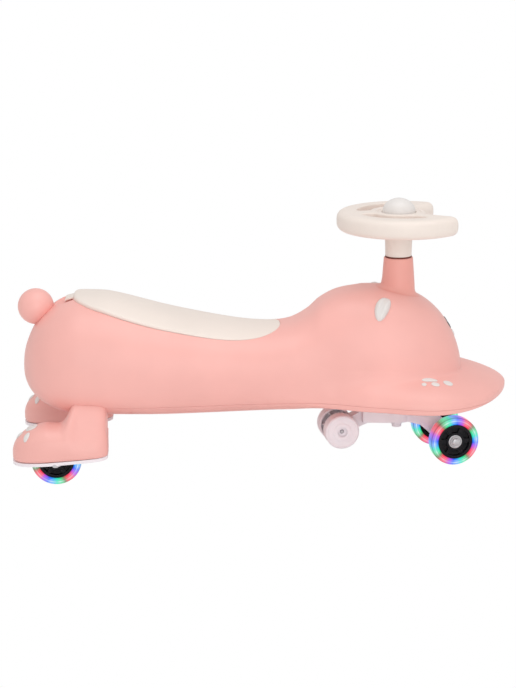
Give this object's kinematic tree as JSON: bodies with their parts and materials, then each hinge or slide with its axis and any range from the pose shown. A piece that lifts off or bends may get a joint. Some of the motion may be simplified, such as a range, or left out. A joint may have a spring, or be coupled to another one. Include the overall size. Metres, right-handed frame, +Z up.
{
  "type": "wiggle car",
  "caption": "child's ride-on twist car with an animal-shaped body, lift-off seat, steering wheel on a column, light-up wheels, small rollers and foot-shaped rear wheel covers",
  "frame": {"origin": "on the ground, midway between the front tip of the brim and the toes of the rear feet, on the middle plane", "axes": "+X towards the front of the car, +Y towards its left side, +Z up"},
  "size_m": [0.7973, 0.304, 0.433],
  "materials": {
    "pink": "satin",
    "deep_pink": "satin",
    "cream": "satin",
    "white": "gloss",
    "lilac": "satin",
    "grey": "matte",
    "dark": "satin",
    "bush": "matte",
    "steel": "brushed",
    "clear_tyre": "clear moulded polyurethane",
    "core": "satin",
    "light": "glowing"
  },
  "bodies": {
    "body": {"upper_shell": "pink", "base_pan": "pink", "neck_sleeve": "deep_pink", "storage_tub": "grey", "tail_ball": "pink", "tail_screw": "steel", "ear_left": "white", "ear_right": "white", "eyes": "dark", "muzzle": "white", "paw_prints": "white", "upper_bush": "bush", "lower_bush": "bush", "pan_screws": "steel", "foot_left": "pink", "foot_right": "pink", "sole_left": "lilac", "sole_right": "lilac", "toe_pads": "white", "rear_axle_left": "steel", "rear_axle_right": "steel", "rear_nuts": "steel", "rear_spacers": "steel", "sole_screws": "steel", "foot_bolts": "steel"},
    "seat": {"seat_lid": "cream"},
    "steering": {"steering_shaft": "steel", "thrust_washer": "bush", "collar": "cream", "steering_wheel": "cream", "button_ring": "cream", "wheel_nut": "steel", "horn_spring": "steel", "yoke": "lilac", "cap_nut": "steel", "front_axle": "steel", "roller_axle": "steel", "yoke_nuts": "steel", "yoke_spacers": "steel"},
    "horn": {"horn_button": "white"},
    "left_roller": {"roller_left": "lilac"},
    "right_roller": {"roller_right": "lilac"},
    "front_left_wheel": {"front_left_tyre": "clear_tyre", "front_left_core": "core", "front_left_lights": "light", "front_left_bearings": "steel"},
    "front_right_wheel": {"front_right_tyre": "clear_tyre", "front_right_core": "core", "front_right_lights": "light", "front_right_bearings": "steel"},
    "rear_left_wheel": {"rear_left_tyre": "clear_tyre", "rear_left_core": "core", "rear_left_lights": "light", "rear_left_bearings": "steel"},
    "rear_right_wheel": {"rear_right_tyre": "clear_tyre", "rear_right_core": "core", "rear_right_lights": "light", "rear_right_bearings": "steel"}
  },
  "joints": [
    {"name": "seat_lift", "type": "slide", "parent": "body", "child": "seat", "axis": [0, 0, 1], "range_m": [0, 0.25]},
    {"name": "steering_turn", "type": "hinge", "parent": "body", "child": "steering", "pos_m": [0.221, 0, 0.25], "axis": [0, 0, 1], "continuous": true},
    {"name": "horn_press", "type": "slide", "parent": "steering", "child": "horn", "axis": [0, 0, -1], "range_m": [0, 0.004], "stiffness_N_per_m": 400, "springref_m": -0.002, "deforming": ["horn_spring"]},
    {"name": "front_left_spin", "type": "hinge", "parent": "steering", "child": "front_left_wheel", "pos_m": [0.29384, 0.06729, 0.04], "axis": [-0.1392, 0.9903, 0], "continuous": true},
    {"name": "front_right_spin", "type": "hinge", "parent": "steering", "child": "front_right_wheel", "pos_m": [0.30957, -0.04461, 0.04], "axis": [-0.1392, 0.9903, 0], "continuous": true},
    {"name": "rear_left_spin", "type": "hinge", "parent": "body", "child": "rear_left_wheel", "pos_m": [-0.332, 0.106, 0.04], "axis": [0, 1, 0], "continuous": true},
    {"name": "rear_right_spin", "type": "hinge", "parent": "body", "child": "rear_right_wheel", "pos_m": [-0.332, -0.106, 0.04], "axis": [0, 1, 0], "continuous": true},
    {"name": "left_roller_spin", "type": "hinge", "parent": "steering", "child": "left_roller", "pos_m": [0.11962, 0.00999, 0.057], "axis": [-0.1392, 0.9903, 0], "continuous": true},
    {"name": "right_roller_spin", "type": "hinge", "parent": "steering", "child": "right_roller", "pos_m": [0.1263, -0.03754, 0.057], "axis": [-0.1392, 0.9903, 0], "continuous": true}
  ]
}
